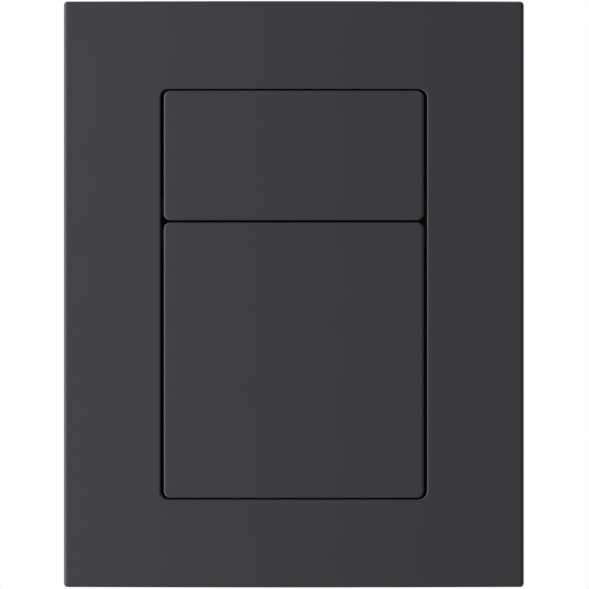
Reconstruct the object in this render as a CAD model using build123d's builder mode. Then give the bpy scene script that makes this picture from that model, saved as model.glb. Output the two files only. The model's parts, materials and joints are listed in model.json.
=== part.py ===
from build123d import *
import os
from dataclasses import dataclass
from math import asin, cos, sqrt, tan

# Dual flush button plate for a concealed cistern, in millimetres.
# X runs to the right, Z up and Y into the wall. The origin is the middle of the plate on the finished wall.
# Depths are distances in front of the wall, so a negative depth lies inside the wall.

# Cover plate: outer size, crown and window margins
plate_width = 156.3
plate_height = 199.0
plate_depth = 12.0
crown_rise = 2.0
edge_radius = 1.3
side_margin = 32.9
end_margin = 29.85
opening_radius = 3.0
opening_edge_radius = 0.45
cover_skin = 2.5
rim_wall = 2.2
collar_wall = 1.8
collar_back = 5.0
cover_rib_back = 6.4
cover_rib_wall = 1.2
cover_side_rib_shares = (0.11, 0.345)
cover_end_rib_shares = (0, 0.14, 0.38)
root_overlap = 1.0

# Buttons: split of the window and gaps round the caps
half_button_height = 44.0
side_gap = 1.15
end_gap = 0.55
middle_gap = 0.72
button_radius = 2.2
button_edge_radius = 0.7
cap_skin = 2.2
skirt_wall = 1.6
skirt_back = 6.0
half_travel = 4.8
full_travel = 7.0

# Rockers behind the caps
rocker_wall = 1.8
rocker_rib_wall = 1.4
rocker_rib_height = 2.5
rocker_rib_share = 0.22
rocker_clearance = 0.6
barrel_length = 8.0
barrel_wall = 1.1
barrel_plate_gap = 1.8
hinge_clearance = 0.4
stake_inset = 5.0
stake_end_inset = 3.8
stake_radius = 1.4
stake_head_radius = 2.4
stake_head_height = 1.0
stake_head_taper = 35
full_stake_share = 0.72
shoulder_radius = 2.6
stake_clearance = 0.1
lug_length = 6.0
lug_wall = 2.0
lug_inset = 0.5
lug_clearance = 0.15

# Hinge pins
pin_radius = 1.5
pin_fit = 0.02
pin_running_clearance = 0.1
cheek_inset = 5.0
cheek_wall = 2.6
cheek_brace_height = 5.0
cheek_web = 1.2
pin_end_clearance = 0.2

# Return springs
spring_radius = 3.6
spring_wire_radius = 0.4
spring_turns = 5.5
spring_width_share = 0.34
spring_share = 0.45
spring_seat_gap = 0.02
spring_side_clearance = 0.4
cup_wall = 1.5
cup_height = 2.0

# Sliders and push rods
rod_spacing = 36.0
rod_inset = 8.0
rod_radius = 3.0
rod_end_depth = -76.0
spigot_radius = 2.5
spigot_length = 9.5
slider_radius = 4.5
slider_head_overlap = 0.9
slider_head_wall = 0.9
slider_dome_radius = 12.0
slider_overhang = 9.8
slider_clearance = 0.2
guide_wall = 1.6
guide_length = 8.4
guide_chamfer = 0.5
pad_radius = 5.0

# Rubber buffers
buffer_radius = 3.2
buffer_edge_radius = 0.6
buffer_stem_radius = 1.6
buffer_stem_length = 4.2
buffer_boss_wall = 1.4
buffer_clearance = 0.15

# Button carrier, a tray behind the window
tray_gap = 2.2
tray_wall = 1.8
tray_floor = -4.6
tray_base = 2.0
tray_radius = 4.0
tray_rib_height = 2.5
tray_rib_wall = 1.4
tray_rib_shares = (0.36, 0.8)
tray_top_rib_rise = 8.0
tray_bottom_rib_share = 0.72
tray_edge_radius = 1.0
ear_radius = 4.2
ear_wall = 2.0
side_ear_offset = 4.8
end_ear_offset = 3.9
side_ear_share = 0.33
boss_radius = 3.4
pilot_radius = 1.2
pilot_depth = 3.5
screw_clearance_radius = 1.7
screw_radius = 1.15
screw_length = 5.0
screw_head_radius = 2.8
screw_head_height = 1.9
screw_head_edge_radius = 0.6
recess_width = 0.8
recess_length = 3.36
recess_depth = 0.9

# Mounting frame on the wall
frame_side_gap = 4.3
frame_end_gap = 5.3
frame_side_bar = 11.0
frame_end_bar = 9.0
frame_height = 5.0
frame_floor = 1.8
frame_flange = 1.6
frame_radius = 4.0
window_radius = 2.0
frame_edge_radius = 0.6
frame_side_rib_shares = (0.2, 0.5, 0.8)
frame_end_rib_shares = (-0.35, 0, 0.35)
frame_rib_drop = 1.0
tab_wall = 3.2
tab_length = 18.0
tab_clearance = 1.2

# Fixing bolts
bolt_offset = 5.75
bolt_radius = 3.0
bolt_neck_radius = 2.6
bolt_neck_end = -1.0
bolt_end_depth = -62.0
bolt_head_radius = 5.0
bolt_head_height = 4.0
bolt_head_chamfer = 0.6
bolt_slot_width = 1.4
bolt_slot_depth = 1.8
bolt_hole_clearance = 0.7
bolt_hole_travel = 3.4

# Retaining clips between mounting frame and cover
clip_share = 0.29
clip_width = 12.0
clip_wall = 0.5
clip_bend_radius = 0.5
clip_clearance = 0.1
clip_gap = 1.3
clip_bulge_lead = 1.1
clip_tail_depth = 0.8
catch_width = 14.0
catch_height = 1.4
catch_front = 2.9
catch_back = 1.2

# Worked out from the sizes above
crown_radius = ((plate_width / 2) ** 2 + crown_rise**2) / (2 * crown_rise)
opening_width = plate_width - 2 * side_margin
opening_height = plate_height - 2 * end_margin
button_width = opening_width - 2 * side_gap
full_button_height = opening_height - 2 * end_gap - middle_gap - half_button_height
barrel_radius = pin_radius + pin_running_clearance + barrel_wall
hinge_inset = skirt_wall + barrel_radius + hinge_clearance
rim_half_width = plate_width / 2 - rim_wall
rim_half_height = plate_height / 2 - rim_wall


def crown_depth(x, setback=0.0):
    """Depth of the crowned front at x, or of the surface that runs a setback behind it."""
    return plate_depth - crown_radius + sqrt((crown_radius - setback) ** 2 - x**2)


cap_inside = crown_depth(button_width / 2, cap_skin)
cap_root = (crown_depth(button_width / 2) + crown_depth(0, cap_skin)) / 2
cover_root = (crown_depth(rim_half_width) + crown_depth(0, cover_skin)) / 2
hinge_depth = cap_inside - barrel_radius - hinge_clearance / 2
rocker_front = cap_inside - rocker_clearance / 2
rocker_back = rocker_front - rocker_wall
rocker_rib_back = rocker_back - rocker_rib_height
rocker_half_width = button_width / 2 - skirt_wall - rocker_clearance
spring_x = spring_width_share * button_width
stake_x = rocker_half_width - stake_inset
cheek_x = rocker_half_width - cheek_inset
pin_length = 2 * (cheek_x + cheek_wall / 2 - pin_end_clearance)
tray_half_width = opening_width / 2 + tray_gap + tray_wall
tray_half_height = opening_height / 2 + tray_gap + tray_wall
tray_back = tray_floor - tray_base
slider_front = rocker_rib_back - slider_clearance
slider_back = tray_floor - slider_overhang
slider_head_radius = slider_radius + slider_head_overlap
guide_radius = slider_radius + slider_clearance
frame_half_width = rim_half_width - frame_side_gap
frame_half_height = rim_half_height - frame_end_gap
window_half_width = frame_half_width - frame_side_bar
window_half_height = frame_half_height - frame_end_bar
bolt_x = tray_half_width + bolt_offset
clip_x = clip_share * plate_width
side_ear_x = tray_half_width + side_ear_offset
side_ear_z = side_ear_share * opening_height
end_ear_z = tray_half_height + end_ear_offset
ear_points = [(side_ear_x * sx, side_ear_z * sz) for sx in (-1, 1) for sz in (-1, 1)]
ear_points += [(0, end_ear_z), (0, -end_ear_z)]


@dataclass
class Button:
    """Places for one button: hinged and free edge heights, the way in from the hinge, travel and rod side."""

    hinged_edge: float
    free_edge: float
    inward: int
    travel: float
    rod_x: float
    middle_stakes: tuple

    def __post_init__(self):
        self.height = abs(self.hinged_edge - self.free_edge)
        self.centre = (self.hinged_edge + self.free_edge) / 2
        self.hinge_z = self.hinged_edge + self.inward * hinge_inset
        self.reach = self.height - hinge_inset
        self.swing = asin(self.travel / self.reach)
        self.plate_start = barrel_radius + barrel_plate_gap
        self.plate_end = self.reach - skirt_wall - rocker_clearance
        self.rod_z = self.free_edge - self.inward * rod_inset
        self.rod_arm = self.reach - rod_inset
        self.spring_z = self.at(spring_share * self.height)
        rows = [self.plate_start + stake_end_inset, self.plate_end - stake_inset]
        rows += [share * self.plate_end for share in self.middle_stakes]
        self.stake_points = [(x, self.at(row)) for x in (-stake_x, 0, stake_x) for row in rows]
        stops = sorted(rows + [spring_share * self.height])
        self.rib_rows = [(low + high) / 2 for low, high in zip(stops, stops[1:])]

    def at(self, arm):
        """Height of a point at a distance from the hinge towards the free edge."""
        return self.hinge_z + self.inward * arm

    def buffer_front(self):
        """Depth that the buffer reaches, just clear of the pressed rocker."""
        pressed = (hinge_depth - rocker_rib_back) / cos(self.swing)
        pressed += (self.rod_arm + buffer_radius) * tan(self.swing)
        return hinge_depth - pressed - buffer_clearance


half_top = opening_height / 2 - end_gap
half_bottom = half_top - half_button_height
full_top = half_bottom - middle_gap
full_bottom = full_top - full_button_height
half = Button(half_top, half_bottom, -1, half_travel, -rod_spacing / 2, ())
full = Button(full_bottom, full_top, 1, full_travel, rod_spacing / 2, (full_stake_share,))
buttons = (half, full)


def at_depth(depth):
    """Upright plane that faces the room, at a depth in front of the wall."""
    return Plane.XZ.offset(depth)


def crowned_section(width, setback, back, bottom):
    """Level section from a flat back to an arc that runs a setback behind the crowned front."""
    half_width = width / 2
    side = -crown_depth(half_width, setback)
    with BuildSketch(Plane.XY.offset(bottom)) as section:
        with BuildLine():
            arc = ThreePointArc((-half_width, side), (0, -crown_depth(0, setback)), (half_width, side))
            Polyline(arc @ 1, (half_width, -back), (-half_width, -back), arc @ 0)
        make_face()
    return section.sketch


def crowned_face(part):
    """The large crowned front face of a part."""
    return part.faces().filter_by(GeomType.CYLINDER).sort_by(SortBy.AREA)[-1]


# Cover plate: crowned shell with rounded edges, window collar, screw bosses, ribs and clip catches
with BuildPart() as cover_plate:
    extrude(crowned_section(plate_width, 0, 0, -plate_height / 2), amount=plate_height)
    fillet(crowned_face(cover_plate).edges() + cover_plate.edges().filter_by(Axis.Y), edge_radius)
    hollow = crowned_section(2 * rim_half_width, cover_skin, 0, -rim_half_height)
    extrude(hollow, amount=2 * rim_half_height, mode=Mode.SUBTRACT)
    with BuildSketch(at_depth(collar_back)):
        RectangleRounded(
            opening_width + 2 * collar_wall, opening_height + 2 * collar_wall, opening_radius + collar_wall
        )
    extrude(amount=cover_root - collar_back)
    with BuildSketch(at_depth(0)):
        RectangleRounded(opening_width, opening_height, opening_radius)
    extrude(amount=plate_depth, mode=Mode.SUBTRACT)
    fillet(crowned_face(cover_plate).inner_wires()[0].edges(), opening_edge_radius)
    with BuildSketch(at_depth(cover_rib_back)):
        side_rib = rim_half_width - opening_width / 2 - collar_wall + root_overlap
        side_middle = (rim_half_width + opening_width / 2 + collar_wall) / 2
        for rib_z in (side_ear_z, *(share * plate_height for share in cover_side_rib_shares)):
            with Locations(*[(side_middle * sx, rib_z * sz) for sx in (-1, 1) for sz in (-1, 1)]):
                Rectangle(side_rib, cover_rib_wall)
        end_rib = rim_half_height - opening_height / 2 - collar_wall + root_overlap
        end_middle = (rim_half_height + opening_height / 2 + collar_wall) / 2
        for rib_x in (share * plate_width for share in cover_end_rib_shares):
            with Locations(*[(rib_x * sx, end_middle * sz) for sx in (-1, 1) for sz in (-1, 1)]):
                Rectangle(cover_rib_wall, end_rib)
    extrude(amount=cover_root - cover_rib_back)
    with BuildSketch(at_depth(collar_back)):
        with Locations(*ear_points):
            Circle(boss_radius)
    extrude(amount=cover_root - collar_back)
    with BuildSketch(at_depth(collar_back)):
        with Locations(*ear_points):
            Circle(pilot_radius)
    extrude(amount=pilot_depth, mode=Mode.SUBTRACT)
    for catch_x in (-clip_x, clip_x):
        with BuildSketch(Plane.YZ.offset(catch_x - catch_width / 2)):
            for sz in (-1, 1):
                with BuildLine():
                    Polyline(
                        (-catch_front, sz * (rim_half_height + rim_wall / 2)),
                        (-catch_front, sz * (rim_half_height - catch_height)),
                        (-(catch_front + catch_back) / 2, sz * (rim_half_height - catch_height)),
                        (-catch_back, sz * rim_half_height),
                        (-catch_back, sz * (rim_half_height + rim_wall / 2)),
                        close=True,
                    )
                make_face()
        extrude(amount=catch_width)


def make_cap(button):
    """Crowned button cap with a skirt, and staking posts that hold the rocker."""
    with BuildPart() as cap:
        with BuildSketch(at_depth(skirt_back)):
            with Locations((0, button.centre)):
                RectangleRounded(button_width, button.height, button_radius)
        extrude(amount=plate_depth - skirt_back)
        low = button.centre - button.height / 2
        crown = crowned_section(plate_width, 0, 0, -plate_height / 2)
        extrude(crown, amount=plate_height, mode=Mode.INTERSECT)
        fillet(crowned_face(cap).edges(), button_edge_radius)
        hollow = crowned_section(button_width - 2 * skirt_wall, cap_skin, skirt_back, low + skirt_wall)
        extrude(hollow, amount=button.height - 2 * skirt_wall, mode=Mode.SUBTRACT)
        with BuildSketch(at_depth(rocker_front)):
            with Locations(*button.stake_points):
                Circle(shoulder_radius)
        extrude(amount=cap_root - rocker_front)
        with BuildSketch(at_depth(rocker_back)):
            with Locations(*button.stake_points):
                Circle(stake_radius)
        extrude(amount=rocker_wall)
        with BuildSketch(at_depth(rocker_back)):
            with Locations(*button.stake_points):
                Circle(stake_head_radius)
        extrude(amount=-stake_head_height, taper=stake_head_taper)
    return cap.part


def make_rocker(button):
    """Ribbed lever plate with hinge barrels, push pad, spring seats, buffer pads and stop lugs."""
    z = button.at
    length = button.plate_end - button.plate_start
    middle = z((button.plate_end + button.plate_start) / 2)
    with BuildPart() as rocker:
        with BuildSketch(at_depth(rocker_back)):
            with Locations((0, middle)):
                Rectangle(2 * rocker_half_width, length)
        extrude(amount=rocker_wall)
        with BuildSketch(at_depth(rocker_rib_back)):
            for rib_x in (rocker_half_width - rocker_rib_wall / 2, rocker_rib_share * button_width):
                with Locations((-rib_x, middle), (rib_x, middle)):
                    Rectangle(rocker_rib_wall, length)
            with Locations((0, z(button.plate_end - rocker_rib_wall / 2))):
                Rectangle(2 * rocker_half_width, rocker_rib_wall)
            for row in button.rib_rows:
                with Locations((0, z(row))):
                    Rectangle(2 * rocker_half_width, rocker_rib_wall)
            with Locations((button.rod_x, button.rod_z)):
                Circle(pad_radius)
            with Locations((-spring_x, button.rod_z), (spring_x, button.rod_z)):
                Circle(buffer_radius)
        extrude(amount=rocker_rib_height)
        with BuildSketch(at_depth(rocker_rib_back)):
            with Locations((-spring_x, button.spring_z), (spring_x, button.spring_z)):
                Circle(spring_radius - spring_wire_radius - spring_side_clearance)
        extrude(amount=rocker_rib_height)
        # Hinge barrels beside the cheeks, with necks to the plate
        barrel_offset = cheek_wall / 2 + hinge_clearance
        starts = [cheek_x - barrel_offset - barrel_length, barrel_offset]
        starts += [-start - barrel_length for start in starts]
        for start in starts:
            with BuildSketch(Plane.YZ.offset(start)):
                with Locations((-hinge_depth, button.hinge_z)):
                    Circle(barrel_radius)
                neck = button.plate_start + root_overlap
                with Locations((-(rocker_front + hinge_depth) / 2, z(neck / 2))):
                    Rectangle(rocker_front - hinge_depth, neck)
            extrude(amount=barrel_length)
        with BuildSketch(Plane.YZ):
            with Locations((-hinge_depth, button.hinge_z)):
                Circle(pin_radius + pin_running_clearance)
        extrude(amount=plate_width / 2, both=True, mode=Mode.SUBTRACT)
        # Stop lugs that catch behind the window collar
        lug_front = collar_back - lug_clearance
        lug_z = z(button.plate_end - lug_length / 2)
        lug_inner = rocker_half_width - rocker_rib_wall
        lug_outer = opening_width / 2 + collar_wall - lug_inset
        lug_root = lug_inner + rocker_rib_wall / 2
        with BuildSketch(at_depth(lug_front)):
            with Locations((lug_outer, lug_z)):
                Rectangle(lug_outer - lug_inner, lug_length, align=(Align.MAX, Align.CENTER))
            with Locations((-lug_outer, lug_z)):
                Rectangle(lug_outer - lug_inner, lug_length, align=(Align.MIN, Align.CENTER))
        extrude(amount=-lug_wall)
        with BuildSketch(at_depth(lug_front)):
            with Locations((lug_root, lug_z), (-lug_root, lug_z)):
                Rectangle(rocker_rib_wall, lug_length)
        extrude(amount=rocker_back - lug_front)
        with BuildSketch(at_depth(rocker_back)):
            with Locations(*button.stake_points):
                Circle(stake_radius + stake_clearance)
        extrude(amount=rocker_wall, mode=Mode.SUBTRACT)
    return rocker.part


def make_pin(button):
    """Hinge pin along X with chamfered ends."""
    with BuildPart() as pin:
        with BuildSketch(Plane.YZ.offset(-pin_length / 2)):
            with Locations((-hinge_depth, button.hinge_z)):
                Circle(pin_radius)
        extrude(amount=pin_length)
        chamfer(pin.edges(), pin_radius / 5)
    return pin.part


def make_spring(button, x):
    """Compression spring from the tray floor to the back of the rocker."""
    start = tray_floor + spring_wire_radius + spring_seat_gap
    height = rocker_back - spring_wire_radius - spring_seat_gap - start
    with BuildPart() as spring:
        with BuildLine() as coil:
            Helix(height / spring_turns, height, spring_radius, (x, -start, button.spring_z), (0, -1, 0))
        with BuildSketch(Plane(coil.line @ 0, z_dir=coil.line % 0)):
            Circle(spring_wire_radius)
        sweep(path=coil.line, is_frenet=True)
    return spring.part


def make_buffer(button, x):
    """Rubber buffer with a stem that sits in the tray floor."""
    with BuildPart() as buffer:
        with BuildSketch(at_depth(tray_floor)):
            with Locations((x, button.rod_z)):
                Circle(buffer_radius)
        extrude(amount=button.buffer_front() - tray_floor)
        fillet(buffer.edges().group_by(Axis.Y)[0], buffer_edge_radius)
        with BuildSketch(at_depth(tray_floor)):
            with Locations((x, button.rod_z)):
                Circle(buffer_stem_radius)
        extrude(amount=-buffer_stem_length)
    return buffer.part


def make_slider(button):
    """Domed slider that the rocker pushes, with a bore for the rod's spigot."""
    axis_plane = Plane(origin=(button.rod_x, 0, button.rod_z), x_dir=(1, 0, 0), z_dir=(0, 0, 1))
    head_edge = -slider_front + slider_dome_radius - sqrt(slider_dome_radius**2 - slider_head_radius**2)
    with BuildPart() as slider:
        with BuildSketch(axis_plane):
            with BuildLine():
                tip = RadiusArc((0, -slider_front), (slider_head_radius, head_edge), slider_dome_radius)
                Polyline(
                    tip @ 1,
                    (slider_head_radius, head_edge + slider_head_wall),
                    (slider_radius, head_edge + slider_head_wall),
                    (slider_radius, -slider_back),
                    (spigot_radius + pin_fit, -slider_back),
                    (spigot_radius + pin_fit, -slider_back - spigot_length),
                    (0, -slider_back - spigot_length),
                    tip @ 0,
                )
            make_face()
        revolve(axis=Axis((button.rod_x, 0, button.rod_z), (0, 1, 0)))
    return slider.part


def make_rod(button):
    """Push rod with a spigot in the slider and a chamfered free end."""
    with BuildPart() as rod:
        with BuildSketch(at_depth(slider_back)):
            with Locations((button.rod_x, button.rod_z)):
                Circle(rod_radius)
        extrude(amount=rod_end_depth - slider_back)
        chamfer(rod.edges().group_by(Axis.Y)[-1], rod_radius / 4)
        with BuildSketch(at_depth(slider_back)):
            with Locations((button.rod_x, button.rod_z)):
                Circle(spigot_radius)
        extrude(amount=spigot_length - slider_clearance)
    return rod.part


# Button carrier: tray with screw ears, hinge cheeks, spring cups, buffer seats and rod guides
with BuildPart() as button_carrier:
    with BuildSketch(at_depth(tray_back)):
        RectangleRounded(2 * tray_half_width, 2 * tray_half_height, tray_radius)
    extrude(amount=collar_back - tray_back)
    fillet(button_carrier.edges().group_by(Axis.Y)[-1], tray_edge_radius)
    with BuildSketch(at_depth(tray_floor)):
        RectangleRounded(
            2 * (tray_half_width - tray_wall), 2 * (tray_half_height - tray_wall), tray_radius - tray_wall
        )
    extrude(amount=collar_back - tray_floor, mode=Mode.SUBTRACT)
    with BuildSketch(at_depth(collar_back)):
        for ear_x, ear_z in ear_points:
            root_x = 0 if ear_x == 0 else (abs(ear_x) - side_ear_offset - tray_wall / 2) * ear_x / abs(ear_x)
            root_z = ear_z if ear_x else (end_ear_z - end_ear_offset - tray_wall / 2) * ear_z / abs(ear_z)
            with Locations(((ear_x + root_x) / 2, (ear_z + root_z) / 2)):
                Rectangle(
                    abs(ear_x - root_x) or 2 * ear_radius, abs(ear_z - root_z) or 2 * ear_radius
                )
            with Locations((ear_x, ear_z)):
                Circle(ear_radius)
                Circle(screw_clearance_radius, mode=Mode.SUBTRACT)
    extrude(amount=-ear_wall)
    for button in buttons:
        wall_z = button.hinge_z - button.inward * (hinge_inset + end_gap + tray_gap + tray_wall / 2)
        for cheek_middle in (-cheek_x, 0, cheek_x):
            with BuildSketch(Plane.YZ.offset(cheek_middle - cheek_wall / 2)):
                with Locations((-hinge_depth, button.hinge_z)):
                    Circle(barrel_radius)
                with Locations((-(hinge_depth + tray_floor) / 2, button.hinge_z)):
                    Rectangle(hinge_depth - tray_floor, 2 * barrel_radius)
                with Locations((-tray_floor - cheek_brace_height / 2, (button.hinge_z + wall_z) / 2)):
                    Rectangle(cheek_brace_height, abs(wall_z - button.hinge_z))
                with Locations((-hinge_depth, button.hinge_z)):
                    Circle(pin_radius + pin_fit, mode=Mode.SUBTRACT)
            extrude(amount=cheek_wall)
        # Closed webs outside the outer cheeks keep the pin in
        for web_x in (-cheek_x - cheek_wall / 2 - cheek_web, cheek_x + cheek_wall / 2):
            with BuildSketch(Plane.YZ.offset(web_x)):
                with Locations((-hinge_depth, button.hinge_z)):
                    Circle(barrel_radius)
                with Locations((-(hinge_depth + tray_floor) / 2, button.hinge_z)):
                    Rectangle(hinge_depth - tray_floor, 2 * barrel_radius)
            extrude(amount=cheek_web)
        with BuildSketch(at_depth(tray_floor)):
            cup_bore = spring_radius + spring_wire_radius + spring_side_clearance
            with Locations((-spring_x, button.spring_z), (spring_x, button.spring_z)):
                Circle(cup_bore + cup_wall)
                Circle(cup_bore, mode=Mode.SUBTRACT)
        extrude(amount=cup_height)
    # Stiffening ribs, buffer bosses and rod guides on the rear side
    tray_rib_rows = [half.spring_z + tray_top_rib_rise, half.rod_z, full.rod_z, full.spring_z]
    tray_rib_rows += [tray_bottom_rib_share * full.hinge_z]
    with BuildSketch(at_depth(tray_back)):
        for rib_x in (share * tray_half_width for share in tray_rib_shares):
            with Locations((-rib_x, 0), (rib_x, 0)):
                Rectangle(tray_rib_wall, 2 * (tray_half_height - tray_wall))
        for rib_z in tray_rib_rows:
            with Locations((0, rib_z)):
                Rectangle(2 * (tray_half_width - tray_wall), tray_rib_wall)
        for button in buttons:
            with Locations((button.rod_x, button.rod_z)):
                Circle(guide_radius + guide_wall)
            with Locations((-spring_x, button.rod_z), (spring_x, button.rod_z)):
                Circle(buffer_stem_radius + pin_fit + buffer_boss_wall)
    extrude(amount=-tray_rib_height)
    with BuildSketch(at_depth(tray_floor - guide_length)):
        for button in buttons:
            with Locations((button.rod_x, button.rod_z)):
                Circle(guide_radius + guide_wall)
    extrude(amount=guide_length - tray_base / 2)
    chamfer(button_carrier.edges().group_by(Axis.Y)[-1], guide_chamfer)
    with BuildSketch(at_depth(tray_floor)):
        for button in buttons:
            with Locations((button.rod_x, button.rod_z)):
                Circle(guide_radius)
    extrude(amount=-guide_length, mode=Mode.SUBTRACT)
    with BuildSketch(at_depth(tray_floor)):
        for button in buttons:
            with Locations((-spring_x, button.rod_z), (spring_x, button.rod_z)):
                Circle(buffer_stem_radius + pin_fit)
    extrude(amount=-tray_base - tray_rib_height, mode=Mode.SUBTRACT)

# Mounting frame: channel ring with cross ribs and two tabs for the fixing bolts
with BuildPart() as mounting_frame:
    with BuildSketch(at_depth(0)):
        RectangleRounded(2 * frame_half_width, 2 * frame_half_height, frame_radius)
        RectangleRounded(2 * window_half_width, 2 * window_half_height, window_radius, mode=Mode.SUBTRACT)
    extrude(amount=frame_height)
    fillet(mounting_frame.edges().group_by(Axis.Y)[0], frame_edge_radius)
    with BuildSketch(at_depth(frame_floor)):
        RectangleRounded(
            2 * (frame_half_width - frame_flange),
            2 * (frame_half_height - frame_flange),
            frame_radius - frame_flange,
        )
        RectangleRounded(
            2 * (window_half_width + frame_flange),
            2 * (window_half_height + frame_flange),
            window_radius + frame_flange,
            mode=Mode.SUBTRACT,
        )
    extrude(amount=frame_height - frame_floor, mode=Mode.SUBTRACT)
    with BuildSketch(at_depth(frame_floor)):
        bar_x = (frame_half_width + window_half_width) / 2
        bar_z = (frame_half_height + window_half_height) / 2
        for rib_z in (share * window_half_height for share in frame_side_rib_shares):
            with Locations(*[(bar_x * sx, rib_z * sz) for sx in (-1, 1) for sz in (-1, 1)]):
                Rectangle(frame_side_bar - frame_flange, tray_rib_wall)
        for share in frame_end_rib_shares:
            with Locations((share * window_half_width, -bar_z), (share * window_half_width, bar_z)):
                Rectangle(tray_rib_wall, frame_end_bar - frame_flange)
    extrude(amount=frame_height - frame_floor - frame_rib_drop)
    with BuildSketch(at_depth(0)):
        tab_inner = tray_half_width + tab_clearance
        tab_outer = window_half_width + frame_flange / 2
        with Locations(((tab_inner + tab_outer) / 2, 0), (-(tab_inner + tab_outer) / 2, 0)):
            Rectangle(tab_outer - tab_inner, tab_length)
        with Locations((-bolt_x, 0), (bolt_x, 0)):
            SlotOverall(
                2 * (bolt_neck_radius + bolt_hole_clearance) + bolt_hole_travel,
                2 * (bolt_neck_radius + bolt_hole_clearance),
                rotation=90,
                mode=Mode.SUBTRACT,
            )
    extrude(amount=tab_wall)


def make_bolt(x):
    """Fixing bolt with a slotted head, a reduced neck in the tab and a full shank behind the wall."""
    with BuildPart() as bolt:
        with BuildSketch(at_depth(tab_wall)):
            with Locations((x, 0)):
                Circle(bolt_head_radius)
        extrude(amount=bolt_head_height)
        chamfer(bolt.edges().group_by(Axis.Y)[0], bolt_head_chamfer)
        with BuildSketch(at_depth(tab_wall + bolt_head_height - bolt_slot_depth)):
            with Locations((x, 0)):
                Rectangle(3 * bolt_head_radius, bolt_slot_width)
        extrude(amount=bolt_slot_depth, mode=Mode.SUBTRACT)
        with BuildSketch(at_depth(tab_wall)):
            with Locations((x, 0)):
                Circle(bolt_neck_radius)
        extrude(amount=bolt_neck_end - tab_wall)
        with BuildSketch(at_depth(bolt_neck_end)):
            with Locations((x, 0)):
                Circle(bolt_radius)
        extrude(amount=bolt_end_depth - bolt_neck_end)
        chamfer(bolt.edges().group_by(Axis.Y)[-1], bolt_radius / 4)
    return bolt.part


def make_clip(x, side):
    """Leaf spring clip that straddles the frame's outer flange and bulges towards the cover's rim."""
    leg = clip_clearance + clip_wall / 2
    inner_z = frame_half_height - frame_flange - leg
    outer_z = frame_half_height + leg
    top = frame_height + leg
    bulge_z = rim_half_height - clip_gap
    with BuildPart() as clip:
        with BuildSketch(Plane.YZ.offset(x - clip_width / 2)):
            with BuildLine():
                FilletPolyline(
                    (-frame_floor - leg, side * inner_z),
                    (-top, side * inner_z),
                    (-top, side * outer_z),
                    (-(catch_front + clip_bulge_lead), side * bulge_z),
                    (-clip_tail_depth, side * (outer_z + leg / 2)),
                    radius=clip_bend_radius,
                )
            trace(line_width=clip_wall)
        extrude(amount=clip_width)
    return clip.part


# Six screws through the carrier's ears into the cover's bosses
with BuildPart() as carrier_screws:
    head_back = collar_back - ear_wall
    with BuildSketch(at_depth(head_back)):
        with Locations(*ear_points):
            Circle(screw_head_radius)
    extrude(amount=-screw_head_height)
    fillet(carrier_screws.edges().group_by(Axis.Y)[-1], screw_head_edge_radius)
    with BuildSketch(at_depth(head_back - screw_head_height)):
        with Locations(*ear_points):
            Rectangle(recess_width, recess_length)
            Rectangle(recess_length, recess_width)
    extrude(amount=recess_depth, mode=Mode.SUBTRACT)
    with BuildSketch(at_depth(head_back)):
        with Locations(*ear_points):
            Circle(screw_radius)
    extrude(amount=screw_length)

pieces = {
    "cover_plate": cover_plate.part,
    "button_carrier": button_carrier.part,
    "mounting_frame": mounting_frame.part,
    "carrier_screws": carrier_screws.part,
    "fixing_bolt_left": make_bolt(-bolt_x),
    "fixing_bolt_right": make_bolt(bolt_x),
    "retaining_clip_top_left": make_clip(-clip_x, 1),
    "retaining_clip_top_right": make_clip(clip_x, 1),
    "retaining_clip_bottom_left": make_clip(-clip_x, -1),
    "retaining_clip_bottom_right": make_clip(clip_x, -1),
}
for name, button in (("half", half), ("full", full)):
    pieces[f"{name}_button_cap"] = make_cap(button)
    pieces[f"{name}_button_rocker"] = make_rocker(button)
    pieces[f"{name}_hinge_pin"] = make_pin(button)
    pieces[f"{name}_rod_slider"] = make_slider(button)
    pieces[f"{name}_push_rod"] = make_rod(button)
    for side, x in (("left", -spring_x), ("right", spring_x)):
        pieces[f"{name}_spring_{side}"] = make_spring(button, x)
        pieces[f"{name}_buffer_{side}"] = make_buffer(button, x)

os.makedirs("parts", exist_ok=True)
for label, piece in pieces.items():
    piece.label = label
    export_step(piece, f"parts/{label}.step")
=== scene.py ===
import json
from math import cos, pi, radians, sin, tan

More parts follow.
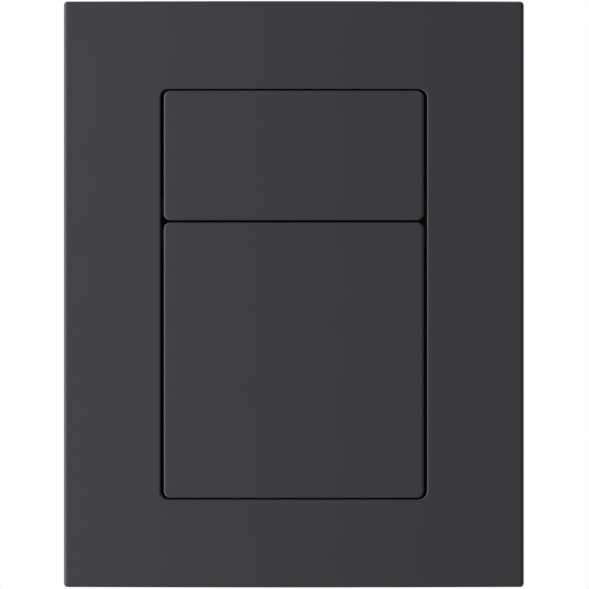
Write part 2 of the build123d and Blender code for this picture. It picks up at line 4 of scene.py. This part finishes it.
import bpy
import numpy as np
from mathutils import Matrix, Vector

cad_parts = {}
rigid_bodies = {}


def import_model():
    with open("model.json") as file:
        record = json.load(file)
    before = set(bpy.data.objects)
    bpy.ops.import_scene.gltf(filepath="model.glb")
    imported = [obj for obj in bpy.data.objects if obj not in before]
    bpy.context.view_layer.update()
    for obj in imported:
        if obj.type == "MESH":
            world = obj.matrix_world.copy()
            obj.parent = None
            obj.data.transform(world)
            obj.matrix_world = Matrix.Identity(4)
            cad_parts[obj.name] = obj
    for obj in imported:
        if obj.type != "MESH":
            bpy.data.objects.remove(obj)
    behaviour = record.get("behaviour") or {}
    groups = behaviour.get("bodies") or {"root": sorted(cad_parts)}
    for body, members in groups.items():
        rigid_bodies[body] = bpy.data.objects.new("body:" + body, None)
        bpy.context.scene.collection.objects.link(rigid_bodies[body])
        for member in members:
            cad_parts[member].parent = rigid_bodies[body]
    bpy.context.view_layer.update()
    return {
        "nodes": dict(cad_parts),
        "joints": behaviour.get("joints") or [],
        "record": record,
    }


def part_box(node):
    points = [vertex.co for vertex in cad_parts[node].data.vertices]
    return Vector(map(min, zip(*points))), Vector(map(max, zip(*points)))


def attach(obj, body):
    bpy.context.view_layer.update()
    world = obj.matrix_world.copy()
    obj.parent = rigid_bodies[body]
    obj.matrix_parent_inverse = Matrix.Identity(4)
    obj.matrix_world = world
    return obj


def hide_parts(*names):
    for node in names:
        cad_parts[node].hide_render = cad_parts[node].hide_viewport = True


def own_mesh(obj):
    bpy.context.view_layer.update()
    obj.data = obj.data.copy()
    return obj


# Dual flush button plate: finishes, threads, springs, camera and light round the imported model.
# Metres throughout. X runs to the right, Z up and Y into the wall, with the wall's face at y = 0.
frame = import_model()

MM = 0.001

# Edges of the new pieces that bend by more than this are creased
CREASE_ANGLE = radians(50)

# Threads on the fixing bolts and the push rods, and the chamfer at their free ends
SIDES = 40
RINGS_PER_PITCH = 12
BOLT_PITCH = 1.0 * MM
BOLT_THREAD_DEPTH = 0.5 * MM
ROD_PITCH = 2.5 * MM
ROD_THREAD_DEPTH = 0.7 * MM
FLANK_STEEPNESS = 1.6
FLANK_START = 0.3
END_CHAMFER = 0.75 * MM

# Fixing bolts: what the model's boxes don't give
BOLT_SHANK_RADIUS = 3.0 * MM
BOLT_NECK_RADIUS = 2.6 * MM
BOLT_NECK_END = 1.0 * MM
BOLT_HEAD_HEIGHT = 4.0 * MM
BOLT_HEAD_CHAMFER = 0.6 * MM
BOLT_SLOT_WIDTH = 1.4 * MM
BOLT_SLOT_DEPTH = 1.8 * MM
SLOT_CUTTER_REACH = 1.5  # in head radii

# Push rods: the spigot in the slider
SPIGOT_RADIUS = 2.5 * MM

# Return springs
SPRING_WIRE_RADIUS = 0.4 * MM
SPRING_CLOSED_TURNS = 1.0
SPRING_OPEN_TURNS = 4.0
SPRING_POINTS_PER_TURN = 40
WIRE_SIDES = 14


def put_mesh(name, points, faces):
    """Object at the origin with a smooth mesh of these points and faces, creased at sharp corners."""
    mesh = bpy.data.meshes.new(name)
    mesh.from_pydata(points, [], faces)
    mesh.polygons.foreach_set("use_smooth", np.ones(len(mesh.polygons), dtype=bool))
    mesh.set_sharp_from_angle(angle=CREASE_ANGLE)
    piece = bpy.data.objects.new(name, mesh)
    bpy.context.scene.collection.objects.link(piece)
    return piece


def skin(name, rings):
    """Closed skin over an array of rings (ring, point, xyz).

    Quads join each point to its neighbours round the ring and on the next ring, and a fan of triangles
    closes the first and the last ring onto their mean points.
    """
    count, sides, _ = rings.shape
    index = np.arange(count * sides).reshape(count, sides)
    here, beside = index, np.roll(index, -1, axis=1)
    quads = np.stack([here[:-1], here[1:], beside[1:], beside[:-1]], axis=-1).reshape(-1, 4)
    first, last = count * sides, count * sides + 1
    front = np.stack([np.full(sides, first), here[0], beside[0]], axis=-1)
    back = np.stack([np.full(sides, last), beside[-1], here[-1]], axis=-1)
    points = np.concatenate([rings.reshape(-1, 3), rings[[0, -1]].mean(axis=1)])
    return put_mesh(name, points.tolist(), quads.tolist() + front.tolist() + back.tolist())


def middle(low, high):
    """X and Z of the axis along Y through the middle of a box."""
    return (low.x + high.x) / 2, (low.z + high.z) / 2


def turned_bar(name, x, z, stations, radii, cut):
    """Bar turned about an axis along Y at (x, z).

    Ring i has its middle at y = stations[i] and the radius radii[i] less cut[i, j] at its point j, so
    cut holds a thread's depth over (y, angle).
    """
    angle = np.linspace(0, 2 * pi, SIDES, endpoint=False)
    radius = radii[:, None] - cut
    along = np.broadcast_to(stations[:, None], radius.shape)
    return skin(name, np.stack([x + radius * np.cos(angle), along, z + radius * np.sin(angle)], axis=-1))


def thread_cut(y, start, end, pitch, depth):
    """Depth of a thread over (y, angle).

    The wave is a triangle of y / pitch less the share of a turn, widened to flat crests and roots and
    rounded by 3 s^2 - 2 s^3. It fades in over one pitch at both ends.
    """
    turn = np.linspace(0, 1, SIDES, endpoint=False)
    wave = np.abs(2 * ((y[:, None] / pitch - turn) % 1.0) - 1)
    flank = np.clip(FLANK_STEEPNESS * wave - FLANK_START, 0, 1)
    fade = np.clip((y - start) / pitch, 0, 1) * np.clip((end - y) / pitch, 0, 1)
    return depth * fade[:, None] * flank**2 * (3 - 2 * flank)


def threaded_shank(start, end, radius, pitch):
    """Stations and radii of a plain shank with close rings for a thread and a chamfer at its far end."""
    rings = int((end - END_CHAMFER - start) / pitch * RINGS_PER_PITCH)
    stations = np.append(np.linspace(start, end - END_CHAMFER, rings), end)
    return stations, np.append(np.full(rings, radius), radius - END_CHAMFER)


def make_rod(node, slider):
    """Push rod: a plain spigot in the slider, then a thread all the way to the chamfered free end."""
    low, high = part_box(node)
    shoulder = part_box(slider)[1].y
    radius = (high.x - low.x) / 2
    stations, radii = threaded_shank(shoulder, high.y, radius, ROD_PITCH)
    cut = thread_cut(stations, shoulder, high.y, ROD_PITCH, ROD_THREAD_DEPTH)
    stations = np.concatenate([[low.y, shoulder], stations])
    radii = np.concatenate([[SPIGOT_RADIUS, SPIGOT_RADIUS], radii])
    cut = np.concatenate([np.zeros((2, SIDES)), cut])
    return turned_bar(f"{node}_threaded", *middle(low, high), stations, radii, cut)


def block(name, low, high):
    """Plain block between two corners, as two rings of four points along Y."""
    xs = np.array([low[0], high[0], high[0], low[0]])
    zs = np.array([low[2], low[2], high[2], high[2]])
    return skin(name, np.stack([np.stack([xs, np.full(4, y), zs], axis=-1) for y in (low[1], high[1])]))


def cut_away(piece, cutter):
    """Takes the cutter's shape out of a piece and removes the cutter."""
    slot = piece.modifiers.new("slot", "BOOLEAN")
    slot.object = cutter
    slot.operation = "DIFFERENCE"
    slot.solver = "EXACT"
    graph = bpy.context.evaluated_depsgraph_get()
    piece.data = bpy.data.meshes.new_from_object(piece.evaluated_get(graph))
    piece.data.set_sharp_from_angle(angle=CREASE_ANGLE)
    piece.modifiers.clear()
    bpy.data.objects.remove(cutter)


def make_bolt(node):
    """Fixing bolt: chamfered head with a screwdriver slot, reduced neck, threaded shank."""
    low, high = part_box(node)
    x, z = middle(low, high)
    head_radius = (high.x - low.x) / 2
    head_back = low.y + BOLT_HEAD_HEIGHT
    stations, radii = threaded_shank(BOLT_NECK_END, high.y, BOLT_SHANK_RADIUS, BOLT_PITCH)
    cut = thread_cut(stations, BOLT_NECK_END, high.y, BOLT_PITCH, BOLT_THREAD_DEPTH)
    head = np.array([
        (low.y, head_radius - BOLT_HEAD_CHAMFER),
        (low.y + BOLT_HEAD_CHAMFER, head_radius),
        (head_back, head_radius),
        (head_back, BOLT_NECK_RADIUS),
        (BOLT_NECK_END, BOLT_NECK_RADIUS),
    ])
    stations = np.concatenate([head[:, 0], stations])
    radii = np.concatenate([head[:, 1], radii])
    cut = np.concatenate([np.zeros((len(head), SIDES)), cut])
    bolt = turned_bar(f"{node}_threaded", x, z, stations, radii, cut)
    reach = SLOT_CUTTER_REACH * head_radius
    slot_low = (x - reach, low.y - BOLT_SLOT_DEPTH, z - BOLT_SLOT_WIDTH / 2)
    slot_high = (x + reach, low.y + BOLT_SLOT_DEPTH, z + BOLT_SLOT_WIDTH / 2)
    cut_away(bolt, block("slot_cutter", slot_low, slot_high))
    return bolt


def make_spring(node):
    """Compression spring with closed end turns.

    The wire's middle line turns evenly about an axis along Y while it climbs one wire thickness a turn
    over the closed turns and evenly over the open ones. The wire's round section stands square to it.
    """
    low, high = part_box(node)
    x, z = middle(low, high)
    radius = (high.x - low.x) / 2 - SPRING_WIRE_RADIUS
    turns = 2 * SPRING_CLOSED_TURNS + SPRING_OPEN_TURNS
    turn = np.linspace(0, turns, int(turns * SPRING_POINTS_PER_TURN) + 1)
    bottom, top = high.y - SPRING_WIRE_RADIUS, low.y + SPRING_WIRE_RADIUS
    closed_rise = 2 * SPRING_WIRE_RADIUS * SPRING_CLOSED_TURNS
    marks = [0, SPRING_CLOSED_TURNS, turns - SPRING_CLOSED_TURNS, turns]
    y = np.interp(turn, marks, [bottom, bottom - closed_rise, top + closed_rise, top])
    out = np.stack([np.cos(2 * pi * turn), np.zeros_like(turn), np.sin(2 * pi * turn)], axis=-1)
    line = np.array([x, 0, z]) + radius * out
    line[:, 1] = y
    along = np.gradient(line, axis=0)
    along /= np.linalg.norm(along, axis=1, keepdims=True)
    across = np.cross(out, along)
    angle = np.linspace(0, 2 * pi, WIRE_SIDES, endpoint=False)[None, :, None]
    section = np.cos(angle) * out[:, None] + np.sin(angle) * across[:, None]
    return skin(f"{node}_coil", line[:, None] + SPRING_WIRE_RADIUS * section)


# Noise in the finishes: its mean, how finely it is broken up, and how much of it goes into the tone
NOISE_MEAN = 0.5
GRAIN_DETAIL = 3.0
GRAIN_BREAKUP = 0.55
GRAIN_IN_TONE = 0.6
CLOUD_DETAIL = 2.0
LINE_DETAIL = 3.0
LINE_TONE_SPREAD = 0.25


def put(tree, kind, values=None, **settings):
    """Adds a shader node with settings on the node, and plain values or links on its input sockets."""
    made = tree.nodes.new("ShaderNode" + kind)
    for name, value in settings.items():
        setattr(made, name, value)
    for socket, value in (values or {}).items():
        if isinstance(value, bpy.types.NodeSocket):
            tree.links.new(value, made.inputs[socket])
        else:
            made.inputs[socket].default_value = value
    return made


def sums(tree, operation, *numbers):
    """Output of one arithmetic node on plain numbers and sockets."""
    return put(tree, "Math", dict(enumerate(numbers)), operation=operation).outputs[0]


def new_group(name, inputs):
    """Shader node group that makes a height, a tone and a roughness from numbers, and its input sockets."""
    group = bpy.data.node_groups.new(name, "ShaderNodeTree")
    for label in inputs:
        group.interface.new_socket(label, in_out="INPUT", socket_type="NodeSocketFloat")
    for label in ("Height", "Tone", "Roughness"):
        group.interface.new_socket(label, in_out="OUTPUT", socket_type="NodeSocketFloat")
    return group, group.nodes.new("NodeGroupInput").outputs


def close_group(group, height, tone, roughness):
    """Links the three results of a group to its outputs."""
    result = group.nodes.new("NodeGroupOutput").inputs
    group.links.new(height, result["Height"])
    group.links.new(tone, result["Tone"])
    group.links.new(roughness, result["Roughness"])
    return group


def moulded_grain_group():
    """Skin of a moulded or sprayed surface: fine grain, broad cloudy tone, gloss that follows the grain."""
    inputs = ("Grain Scale", "Cloud Scale", "Tone Spread", "Roughness", "Roughness Spread")
    group, given = new_group("moulded_grain", inputs)
    place = put(group, "TexCoord").outputs["Object"]
    fine = {"Scale": given["Grain Scale"], "Detail": GRAIN_DETAIL, "Roughness": GRAIN_BREAKUP}
    broad = {"Scale": given["Cloud Scale"], "Detail": CLOUD_DETAIL}
    grain = put(group, "TexNoise", {"Vector": place, **fine}).outputs["Fac"]
    cloud = put(group, "TexNoise", {"Vector": place, **broad}).outputs["Fac"]
    off_grain = sums(group, "SUBTRACT", grain, NOISE_MEAN)
    off_cloud = sums(group, "SUBTRACT", cloud, NOISE_MEAN)
    mixed = sums(group, "MULTIPLY_ADD", off_grain, GRAIN_IN_TONE, off_cloud)
    tone = sums(group, "MULTIPLY_ADD", mixed, given["Tone Spread"], 1.0)
    rough = sums(group, "MULTIPLY_ADD", off_grain, given["Roughness Spread"], given["Roughness"])
    return close_group(group, grain, tone, rough)


def drawn_lines_group():
    """Fine lines left by turning or drawing, as noise stretched along one axis by three scales."""
    inputs = ("Scale X", "Scale Y", "Scale Z", "Roughness", "Roughness Spread")
    group, given = new_group("drawn_lines", inputs)
    place = put(group, "TexCoord").outputs["Object"]
    scales = put(group, "CombineXYZ", {axis: given[f"Scale {axis}"] for axis in "XYZ"}).outputs[0]
    stretched = put(group, "VectorMath", {0: place, 1: scales}, operation="MULTIPLY").outputs[0]
    noise = put(group, "TexNoise", {"Vector": stretched, "Scale": 1.0, "Detail": LINE_DETAIL})
    lines = noise.outputs["Fac"]
    off_lines = sums(group, "SUBTRACT", lines, NOISE_MEAN)
    tone = sums(group, "MULTIPLY_ADD", off_lines, LINE_TONE_SPREAD, 1.0)
    rough = sums(group, "MULTIPLY_ADD", off_lines, given["Roughness Spread"], given["Roughness"])
    return close_group(group, lines, tone, rough)


MOULDED_GRAIN = moulded_grain_group()
DRAWN_LINES = drawn_lines_group()


def new_material(name):
    """Empty material with its principled shader already on the output."""
    material = bpy.data.materials.new(name)
    material.use_nodes = True
    tree = material.node_tree
    return material, tree, tree.nodes["Principled BSDF"]


def toned(tree, colour, tone):
    """Colour that a tone near one lightens and darkens over the surface."""
    return put(tree, "VectorMath", {0: colour, "Scale": tone}, operation="SCALE").outputs[0]


def patterned(name, colour, group, values, depth):
    """Material whose bump, tone and roughness come from a group with these values on its inputs."""
    material, tree, shader = new_material(name)
    pattern = put(tree, "Group", values, node_tree=group).outputs
    bump = put(tree, "Bump", {"Height": pattern["Height"], "Strength": 1.0, "Distance": depth})
    tree.links.new(toned(tree, colour, pattern["Tone"]), shader.inputs["Base Color"])
    tree.links.new(pattern["Roughness"], shader.inputs["Roughness"])
    tree.links.new(bump.outputs["Normal"], shader.inputs["Normal"])
    return material, shader


def moulded(name, colour, specular, scale, cloud, tone, roughness, spread, depth):
    """Moulded plastic, rubber or lacquer: grains and clouds per metre, spreads, and the bump's depth."""
    values = {
        "Grain Scale": scale,
        "Cloud Scale": cloud,
        "Tone Spread": tone,
        "Roughness": roughness,
        "Roughness Spread": spread,
    }
    material, shader = patterned(name, colour, MOULDED_GRAIN, values, depth)
    shader.inputs["Specular IOR Level"].default_value = specular
    return material


def metal(name, colour, scales, roughness, spread, depth):
    """Drawn or turned metal, with lines along the axis that has the smallest of the three scales."""
    values = {f"Scale {axis}": scale for axis, scale in zip("XYZ", scales)}
    values |= {"Roughness": roughness, "Roughness Spread": spread}
    material, shader = patterned(name, colour, DRAWN_LINES, values, depth)
    shader.inputs["Metallic"].default_value = 1.0
    return material


MOULDED_FINISHES = {
    "anthracite_lacquer": dict(
        colour=(0.0452, 0.0482, 0.0529), specular=0.08,
        scale=4200, cloud=60, tone=0.05, roughness=0.56, spread=0.14, depth=0.010 * MM,
    ),
    "black_plastic": dict(
        colour=(0.0120, 0.0122, 0.0125), specular=0.35,
        scale=2600, cloud=90, tone=0.22, roughness=0.56, spread=0.20, depth=0.020 * MM,
    ),
    "pale_plastic": dict(
        colour=(0.43, 0.42, 0.40), specular=0.45,
        scale=1100, cloud=70, tone=0.05, roughness=0.42, spread=0.10, depth=0.008 * MM,
    ),
    "mid_grey_plastic": dict(
        colour=(0.20, 0.205, 0.21), specular=0.40,
        scale=2200, cloud=45, tone=0.12, roughness=0.48, spread=0.16, depth=0.016 * MM,
    ),
    "black_rubber": dict(
        colour=(0.016, 0.016, 0.016), specular=0.30,
        scale=2200, cloud=120, tone=0.25, roughness=0.80, spread=0.10, depth=0.020 * MM,
    ),
}
METAL_FINISHES = {
    "bright_steel": dict(
        colour=(0.50, 0.50, 0.51), scales=(60, 9000, 9000),
        roughness=0.26, spread=0.16, depth=0.002 * MM,
    ),
    "zinc_steel": dict(
        colour=(0.42, 0.435, 0.455), scales=(700, 2600, 700),
        roughness=0.36, spread=0.20, depth=0.004 * MM,
    ),
    "spring_steel": dict(
        colour=(0.36, 0.355, 0.35), scales=(1600, 1600, 1600),
        roughness=0.34, spread=0.18, depth=0.003 * MM,
    ),
}
finishes = {name: moulded(name, **values) for name, values in MOULDED_FINISHES.items()}
finishes |= {name: metal(name, **values) for name, values in METAL_FINISHES.items()}

# Which finish each node of the model takes, as the record says
slots = {part["node"]: part["material_slot"] for part in frame["record"]["subparts"]}
for node, slot in slots.items():
    mesh = frame["nodes"][node].data
    mesh.materials.clear()
    mesh.materials.append(finishes[slot])


def stand_in(piece, node):
    """Puts a new piece in a node's place, with the node's finish and on the node's body."""
    bodies = frame["record"]["behaviour"]["bodies"]
    body = next(name for name, members in bodies.items() if node in members)
    piece.data.materials.clear()
    piece.data.materials.append(finishes[slots[node]])
    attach(piece, body)
    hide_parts(node)


for button in ("half", "full"):
    rod_node = f"{button}_push_rod"
    stand_in(make_rod(rod_node, f"{button}_rod_slider"), rod_node)

for side in ("left", "right"):
    bolt_node = f"fixing_bolt_{side}"
    stand_in(make_bolt(bolt_node), bolt_node)

# Coils in place of the springs, which the joints list as shortening towards the tray floor as their button
# is pressed
for joint in frame["joints"]:
    for spring in joint.get("deforming_nodes", []):
        coil = make_spring(spring["node"])
        stand_in(coil, spring["node"])
        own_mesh(coil)


# Camera: straight on, as far back as the photograph's slight perspective shows, lens and sensor in mm
CAMERA_PLACE = (0.22 * MM, -1175 * MM, -0.08 * MM)
CAMERA_LENS = 209.73
SENSOR_WIDTH = 36.0
NEAREST_SEEN = 50 * MM

camera = bpy.data.objects.new("camera", bpy.data.cameras.new("camera"))
camera.data.lens = CAMERA_LENS
camera.data.sensor_width = SENSOR_WIDTH
camera.data.clip_start = NEAREST_SEEN
camera.location = CAMERA_PLACE
camera.rotation_euler = (pi / 2, 0, 0)
bpy.context.scene.collection.objects.link(camera)
bpy.context.scene.camera = camera


def background_rays(tree):
    """One for rays from the camera, off shiny surfaces and through glass, and nought for all others."""
    rays = put(tree, "LightPath").outputs
    seen = sums(tree, "MAXIMUM", rays["Is Camera Ray"], rays["Is Glossy Ray"])
    return sums(tree, "MAXIMUM", seen, rays["Is Transmission Ray"])


# Floor: a pale disc below the hung plate, out of the front view, that fades into the white room at its rim
FLOOR_HEIGHT = -0.24
FLOOR_RADIUS = 1.6
FLOOR_SIDES = 64
FLOOR_COLOUR = (0.68, 0.68, 0.68)
FLOOR_ROUGHNESS = 0.9
FLOOR_GLOW = 0.2
FADE_START = 0.8


def make_floor():
    """Flat disc about the Z axis, one face round a circle of points."""
    angle = np.linspace(0, 2 * pi, FLOOR_SIDES, endpoint=False)
    height = np.full(FLOOR_SIDES, FLOOR_HEIGHT)
    points = np.stack([FLOOR_RADIUS * np.cos(angle), FLOOR_RADIUS * np.sin(angle), height], axis=-1)
    return put_mesh("floor", points.tolist(), [list(range(FLOOR_SIDES))])


def floor_material():
    """Pale matt floor. Towards the rim its colour fades out and its glow rises to the white of the room."""
    material, tree, shader = new_material("pale_floor")
    place = put(tree, "TexCoord").outputs["Object"]
    level = put(tree, "VectorMath", {0: place, 1: (1, 1, 0)}, operation="MULTIPLY").outputs[0]
    distance = put(tree, "VectorMath", {0: level}, operation="LENGTH").outputs["Value"]
    limits = {"From Min": FADE_START, "From Max": FLOOR_RADIUS, "To Min": 1.0, "To Max": 0.0}
    fade = put(tree, "MapRange", {"Value": distance, **limits}, interpolation_type="SMOOTHSTEP")
    near = fade.outputs["Result"]
    glow = sums(tree, "MULTIPLY_ADD", near, FLOOR_GLOW - 1, 1.0)
    seen_glow = sums(tree, "MULTIPLY", glow, background_rays(tree))
    tree.links.new(toned(tree, FLOOR_COLOUR, near), shader.inputs["Base Color"])
    tree.links.new(seen_glow, shader.inputs["Emission Strength"])
    shader.inputs["Emission Color"].default_value = (1, 1, 1, 1)
    shader.inputs["Roughness"].default_value = FLOOR_ROUGHNESS
    shader.inputs["Specular IOR Level"].default_value = 0.0
    return material


floor = make_floor()
floor.data.materials.append(floor_material())
floor.visible_shadow = False
floor.visible_diffuse = False

# Room: the strength with which its white walls light the pieces
AMBIENT = 0.39


def make_room():
    """World that is white to the camera, to reflections and through glass, and dim to everything else."""
    world = bpy.data.worlds.new("room")
    world.use_nodes = True
    tree = world.node_tree
    strength = sums(tree, "MULTIPLY_ADD", background_rays(tree), 1 - AMBIENT, AMBIENT)
    background = tree.nodes["Background"]
    background.inputs["Color"].default_value = (1, 1, 1, 1)
    tree.links.new(strength, background.inputs["Strength"])
    return world


bpy.context.scene.world = make_room()

# Light: a tall strip far round to the left, and a soft panel above and behind. The strip has its full power
# on the dark lacquer, as in the photograph, and about a third of it on the paler pieces and the floor.
STRIP_ANGLE = radians(78)
STRIP_DISTANCE = 2.2
STRIP_PLACE = (-STRIP_DISTANCE * sin(STRIP_ANGLE), -STRIP_DISTANCE * cos(STRIP_ANGLE), 0.0)
STRIP_SIZE = (0.4, 2.6)
STRIP_POWER = 140.0
STRIP_POWER_ON_PALE = 50.0
PANEL_PLACE = (0.3, 1.1, 1.1)
PANEL_SIZE = (1.1, 1.1)
PANEL_POWER = 12.0


def soft_light(name, place, size, power, lit=None):
    """Rectangular lamp that faces the middle of the plate and lights a collection's pieces, or all."""
    lamp = bpy.data.lights.new(name, "AREA")
    lamp.shape = "RECTANGLE"
    lamp.size, lamp.size_y = size
    lamp.energy = power
    light = bpy.data.objects.new(name, lamp)
    light.location = place
    light.rotation_mode = "QUATERNION"
    light.rotation_quaternion = (-Vector(place)).to_track_quat("-Z", "Y")
    light.visible_camera = False
    light.light_linking.receiver_collection = lit
    bpy.context.scene.collection.objects.link(light)


dark_pieces = bpy.data.collections.new("dark_pieces")
pale_pieces = bpy.data.collections.new("pale_pieces")
lacquer = finishes["anthracite_lacquer"].name
for thing in bpy.context.scene.objects:
    if thing.type == "MESH":
        pieces = dark_pieces if lacquer in thing.data.materials else pale_pieces
        pieces.objects.link(thing)

soft_light("left_strip", STRIP_PLACE, STRIP_SIZE, STRIP_POWER, dark_pieces)
soft_light("left_strip_on_pale", STRIP_PLACE, STRIP_SIZE, STRIP_POWER_ON_PALE, pale_pieces)
soft_light("rear_panel", PANEL_PLACE, PANEL_SIZE, PANEL_POWER)

bpy.context.scene.view_settings.view_transform = "Standard"
